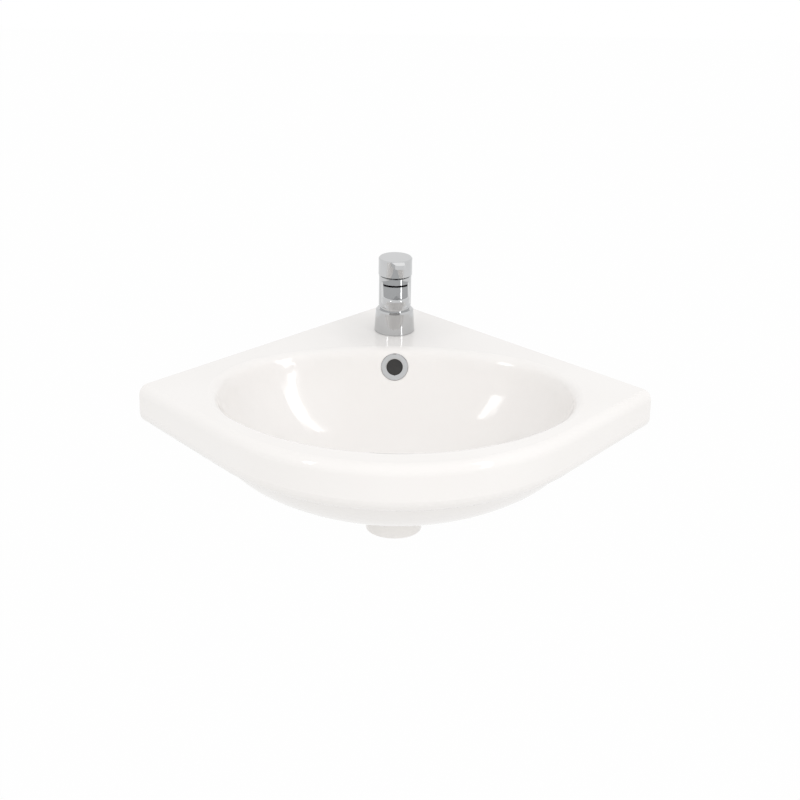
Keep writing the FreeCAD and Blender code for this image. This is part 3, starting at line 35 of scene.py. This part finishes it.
class Nodes:
    """A small helper that builds a node material one line at a time."""

    def __init__(self, name):
        self.material = bpy.data.materials.new(name)
        self.material.use_nodes = True
        self.tree = self.material.node_tree
        self.shader = self.tree.nodes["Principled BSDF"]

    def add(self, kind, settings=None, **inputs):
        node = self.tree.nodes.new(kind)
        for key, value in (settings or {}).items():
            setattr(node, key, value)
        for key, value in inputs.items():
            self.put(node, key.replace("_", " "), value)
        return node

    def put(self, node, key, value):
        socket = node.inputs[int(key[1:])] if key[0] == "#" else node.inputs[key]
        if isinstance(value, bpy.types.NodeSocket):
            self.tree.links.new(value, socket)
        else:
            socket.default_value = value

    def surface(self, **inputs):
        for key, value in inputs.items():
            self.put(self.shader, key.replace("_", " "), value)

    def position(self):
        return self.add("ShaderNodeTexCoord").outputs["Object"]

    def noise(self, scale, detail=3.0, roughness=0.5, vector=None):
        node = self.add("ShaderNodeTexNoise", Scale=scale, Detail=detail, Roughness=roughness)
        self.put(node, "Vector", vector or self.position())
        return node.outputs["Fac"]

    def math(self, operation, first, second=0.0):
        node = self.add("ShaderNodeMath", {"operation": operation})
        for index, value in enumerate((first, second)):
            self.put(node, f"#{index}", value)
        return node.outputs[0]

    def span(self, value, low, high, to_low=0.0, to_high=1.0, smooth=True):
        node = self.add("ShaderNodeMapRange", {"interpolation_type": "SMOOTHSTEP" if smooth else "LINEAR"})
        for key, number in (("Value", value), ("From Min", low), ("From Max", high),
                            ("To Min", to_low), ("To Max", to_high)):
            self.put(node, key, number)
        return node.outputs["Result"]

    def mix(self, factor, first, second):
        node = self.add("ShaderNodeMix", {"data_type": "RGBA"})
        node.inputs["Factor"].default_value = 0.5
        self.put(node, "Factor", factor)
        self.put(node, "#6", first)
        self.put(node, "#7", second)
        return node.outputs[2]

    def bump(self, height, distance, strength=1.0, normal=None):
        node = self.add("ShaderNodeBump", Height=height, Distance=distance, Strength=strength)
        if normal:
            self.put(node, "Normal", normal)
        return node.outputs["Normal"]

    def axes(self, vector):
        return self.add("ShaderNodeSeparateXYZ", Vector=vector).outputs


def colour(red, green, blue):
    return (red, green, blue, 1.0)


# Places on the basin, in metres from the room corner.
WALL_FACE_TOLERANCE = 0.0012
UNDERSIDE_LEVEL = -0.1118
CHANNEL_HALF_WIDTH = 0.0129
CHANNEL_TOP = -0.008
CHANNEL_FRONT = -0.169
CHANNEL_BACK = -0.148


def glazed_ceramic():
    """Warm white glaze, bare clay at the walls and underneath, and painted shade in the overflow channel,
    whose white-glazed inside is coloured near-black to stand in for its shadow.
    """
    n = Nodes("glazed_ceramic")
    place = n.position()
    normal = n.axes(n.add("ShaderNodeTexCoord").outputs["Normal"])
    x, y, z = n.axes(place)
    side = n.math("ABSOLUTE", x)
    to_wall = n.math("ADD", n.math("MULTIPLY", n.math("ABSOLUTE", normal[0]), 0.7071),
                     n.math("MULTIPLY", normal[1], 0.7071))
    at_wall = n.math("LESS_THAN", n.math("ABSOLUTE", n.math("ADD", side, y)), WALL_FACE_TOLERANCE)
    bare = n.math("MULTIPLY", n.span(to_wall, 0.96, 0.99), at_wall)
    below = n.math("MULTIPLY", n.span(n.math("MULTIPLY", normal[2], -1.0), 0.97, 0.995),
                   n.span(n.math("SUBTRACT", z, UNDERSIDE_LEVEL), 0.0002, -0.0002))
    bare = n.math("MAXIMUM", bare, below)
    broad = n.noise(5.0, 2.0)
    fine = n.noise(90.0, 4.0, 0.6)
    glaze = n.mix(n.span(broad, 0.35, 0.65), colour(0.888, 0.865, 0.845), colour(0.905, 0.884, 0.866))
    clay = n.mix(n.span(fine, 0.3, 0.7), colour(0.70, 0.66, 0.60), colour(0.78, 0.745, 0.69))
    # Painted shade: the inside of the overflow channel is coloured near-black, though its glaze is white, to
    # stand in for the shadow inside the recess.
    painted_channel_shade = n.math("MULTIPLY", n.math("LESS_THAN", side, CHANNEL_HALF_WIDTH),
                     n.math("LESS_THAN", z, CHANNEL_TOP))
    painted_channel_shade = n.math("MULTIPLY", painted_channel_shade, n.math("GREATER_THAN", y, CHANNEL_FRONT))
    painted_channel_shade = n.math("MULTIPLY", painted_channel_shade, n.math("LESS_THAN", y, CHANNEL_BACK))
    n.surface(Base_Color=n.mix(painted_channel_shade, n.mix(bare, glaze, clay), colour(0.05, 0.046, 0.042)))
    n.surface(Roughness=n.span(bare, 0.0, 1.0, 0.085, 0.75, smooth=False))
    waves = n.bump(n.noise(16.0, 1.0), 0.0006, 0.35)
    peel = n.bump(n.noise(260.0, 2.0), 0.00004, 0.5, waves)
    n.surface(Normal=n.bump(n.math("MULTIPLY", fine, bare), 0.0006, 0.8, peel))
    n.surface(IOR=1.53)
    return n.material


def chrome(name, tint, roughness):
    """Polished chrome: faint polishing waves and a slight change of gloss from place to place."""
    n = Nodes(name)
    wipe = n.noise(35.0, 4.0, 0.65)
    n.surface(Base_Color=n.mix(n.span(wipe, 0.3, 0.7), colour(*tint), colour(*(0.97 * v for v in tint))))
    n.surface(Metallic=1.0)
    n.surface(Roughness=n.span(wipe, 0.3, 0.75, roughness, roughness * 1.8))
    n.surface(Normal=n.bump(n.noise(60.0, 1.5), 0.0002, 0.12))
    return n.material


def rubber():
    n = Nodes("black_rubber")
    grain = n.noise(900.0, 3.0)
    n.surface(Base_Color=n.mix(n.noise(60.0), colour(0.018, 0.018, 0.019), colour(0.035, 0.034, 0.033)))
    n.surface(Roughness=n.span(grain, 0.3, 0.7, 0.6, 0.8))
    n.surface(Normal=n.bump(grain, 0.0002, 0.4))
    return n.material


def plastic(name, tint, roughness):
    n = Nodes(name)
    grain = n.noise(700.0, 2.0)
    n.surface(Base_Color=n.mix(n.noise(45.0), colour(*tint), colour(*(0.94 * v for v in tint))))
    n.surface(Roughness=n.span(grain, 0.3, 0.7, roughness, roughness + 0.12))
    n.surface(Normal=n.bump(grain, 0.0001, 0.3))
    return n.material


def turned_metal(name, tint, roughness, pitch=None):
    """Machined or plated metal, with the rings of the lathe or a screw thread along Z."""
    n = Nodes(name)
    patches = n.noise(120.0, 5.0, 0.7)
    n.surface(Base_Color=n.mix(n.span(patches, 0.35, 0.65), colour(*tint), colour(*(0.82 * v for v in tint))))
    n.surface(Metallic=1.0)
    n.surface(Roughness=n.span(patches, 0.3, 0.7, roughness, roughness + 0.15))
    z = n.axes(n.position())[2]
    if pitch:
        turns = n.math("PINGPONG", z, pitch / 2)
        n.surface(Normal=n.bump(turns, 1.0, 0.9))
    else:
        rings = n.noise(2500.0, 1.0, 0.5, n.add("ShaderNodeCombineXYZ", Z=z).outputs[0])
        n.surface(Normal=n.bump(rings, 0.00005, 0.5))
    return n.material


def disc_ceramic():
    n = Nodes("disc_ceramic")
    grain = n.noise(1500.0, 2.0)
    n.surface(Base_Color=n.mix(n.noise(200.0, 4.0), colour(0.78, 0.76, 0.70), colour(0.70, 0.68, 0.62)))
    n.surface(Roughness=n.span(grain, 0.3, 0.7, 0.25, 0.35))
    n.surface(Normal=n.bump(grain, 0.00003, 0.4))
    return n.material


MATERIALS = {
    "glazed_ceramic": glazed_ceramic(),
    "chrome_body": chrome("chrome_body", (0.56, 0.565, 0.57), 0.045),
    "chrome_lever": chrome("chrome_lever", (0.58, 0.585, 0.59), 0.04),
    "chrome_trim": chrome("chrome_trim", (0.55, 0.555, 0.56), 0.06),
    "black_rubber": rubber(),
    "white_plastic": plastic("white_plastic", (0.75, 0.75, 0.72), 0.4),
    "cartridge_plastic": plastic("cartridge_plastic", (0.60, 0.61, 0.60), 0.45),
    "plug_plastic": plastic("plug_plastic", (0.35, 0.35, 0.37), 0.25),
    "disc_ceramic": disc_ceramic(),
    "brass": turned_metal("brass", (0.72, 0.53, 0.25), 0.28),
    "steel": turned_metal("steel", (0.62, 0.62, 0.61), 0.32),
}
NODE_MATERIALS = {
    "fixing_stud": turned_metal("steel_thread", (0.62, 0.62, 0.61), 0.3, pitch=0.00125),
    "cartridge_nut": turned_metal("nickel_plate", (0.58, 0.57, 0.55), 0.22),
}

for part in frame["record"]["subparts"]:
    node = frame["nodes"][part["node"]]
    material = NODE_MATERIALS.get(part["node"], MATERIALS[part["material_slot"]])
    for slot in node.material_slots:
        slot.material = material


# ---------------------------------------------------------------- camera, floor and light

def make_camera():
    elevation, yaw, roll = (math.radians(v) for v in (ELEVATION, YAW, ROLL))
    level = math.cos(elevation)
    back = Vector((math.sin(yaw) * level, -math.cos(yaw) * level, math.sin(elevation)))
    right = (-back).cross(Vector((0, 0, 1))).normalized()
    up = right.cross(-back)
    turned_right = right * math.cos(roll) + up * math.sin(roll)
    turned_up = up * math.cos(roll) - right * math.sin(roll)
    data = bpy.data.cameras.new("camera")
    data.lens = LENS
    data.sensor_width = 36.0
    camera = bpy.data.objects.new("camera", data)
    bpy.context.scene.collection.objects.link(camera)
    turn = Matrix((turned_right, turned_up, back)).transposed()
    camera.matrix_world = Matrix.Translation(TARGET + back * DISTANCE) @ turn.to_4x4()
    bpy.context.scene.camera = camera


def seen_directly(tree):
    """1 for camera, mirror and glass rays, so that the background is white there too."""
    path = tree.nodes.new("ShaderNodeLightPath")
    total = path.outputs["Is Camera Ray"]
    for name in ("Is Glossy Ray", "Is Transmission Ray"):
        either = tree.nodes.new("ShaderNodeMath")
        either.operation = "MAXIMUM"
        tree.links.new(total, either.inputs[0])
        tree.links.new(path.outputs[name], either.inputs[1])
        total = either.outputs[0]
    return total


def make_floor():
    """A pale floor well below the basin, which hangs on walls that aren't shown."""
    size, level = 14.0, -2.6
    mesh = bpy.data.meshes.new("floor")
    corners = [(x * size, y * size, level) for x, y in ((-1, -1), (1, -1), (1, 1), (-1, 1))]
    mesh.from_pydata(corners, [], [(0, 1, 2, 3)])
    floor = bpy.data.objects.new("floor", mesh)
    bpy.context.scene.collection.objects.link(floor)
    n = Nodes("floor")
    n.surface(Base_Color=n.mix(n.noise(3.0), colour(0.88, 0.88, 0.875), colour(0.9, 0.9, 0.895)))
    n.surface(Roughness=0.9)
    glow = n.add("ShaderNodeEmission", Strength=1.0)
    blend = n.add("ShaderNodeMixShader")
    n.put(blend, "#0", n.math("MULTIPLY", seen_directly(n.tree), 0.97))
    n.put(blend, "#1", n.shader.outputs[0])
    n.put(blend, "#2", glow.outputs[0])
    n.put(n.tree.nodes["Material Output"], "Surface", blend.outputs[0])
    mesh.materials.append(n.material)


def make_world(level):
    """An even, soft white dome."""
    world = bpy.data.worlds.new("studio")
    world.use_nodes = True
    bpy.context.scene.world = world
    tree = world.node_tree
    background = tree.nodes["Background"]
    mix = tree.nodes.new("ShaderNodeMix")
    tree.links.new(seen_directly(tree), mix.inputs["Factor"])
    mix.inputs[2].default_value = level
    mix.inputs[3].default_value = 1.0
    background.inputs["Color"].default_value = (1, 1, 1, 1)
    tree.links.new(mix.outputs[0], background.inputs["Strength"])


# The point that the lamps face.
LIT = Vector((0.0, -0.3, 0.0))


def direction(azimuth, elevation):
    """Unit vector; azimuth 0 points at the viewer and grows to the viewer's right."""
    azimuth, elevation = math.radians(azimuth), math.radians(elevation)
    level = math.cos(elevation)
    return Vector((math.sin(azimuth) * level, -math.cos(azimuth) * level, math.sin(elevation)))


def facing(low_end, high_end, distance):
    """Placement of a panel that faces the basin and runs from one direction to the other."""
    low, high = (direction(*end) * distance for end in (low_end, high_end))
    middle = (low + high) / 2
    back = middle.normalized()
    along = (high - low).normalized()
    across = along.cross(back).normalized()
    along = back.cross(across)
    turn = Matrix((across, along, back)).transposed()
    return Matrix.Translation(LIT + middle) @ turn.to_4x4(), (high - low).length


def make_lamp(name, low_end, high_end, distance, width, radiance, mirrored=True):
    """A soft rectangular lamp outside the view; mirrored=False keeps it out of reflections."""
    placement, height = facing(low_end, high_end, distance)
    data = bpy.data.lights.new(name, "AREA")
    data.shape = "RECTANGLE"
    data.size = width
    data.size_y = height
    data.energy = radiance * math.pi * width * height
    lamp = bpy.data.objects.new(name, data)
    bpy.context.scene.collection.objects.link(lamp)
    lamp.matrix_world = placement
    lamp.visible_camera = False
    lamp.visible_glossy = mirrored


make_camera()
make_floor()
make_world(0.87)
make_lamp("right_strip", (43, 8), (66, 60), 2.2, 0.16, 6.0)
make_lamp("left_box", (-46, 26), (-52, 48), 2.2, 0.16, 6.0)
make_lamp("front_fill", (-10, 34), (-10, 64), 2.6, 2.2, 0.54, mirrored=False)
make_lamp("low_fill", (-8, -44), (-8, -8), 2.6, 3.0, 0.38, mirrored=False)

view = bpy.context.scene.view_settings
view.view_transform = "Standard"
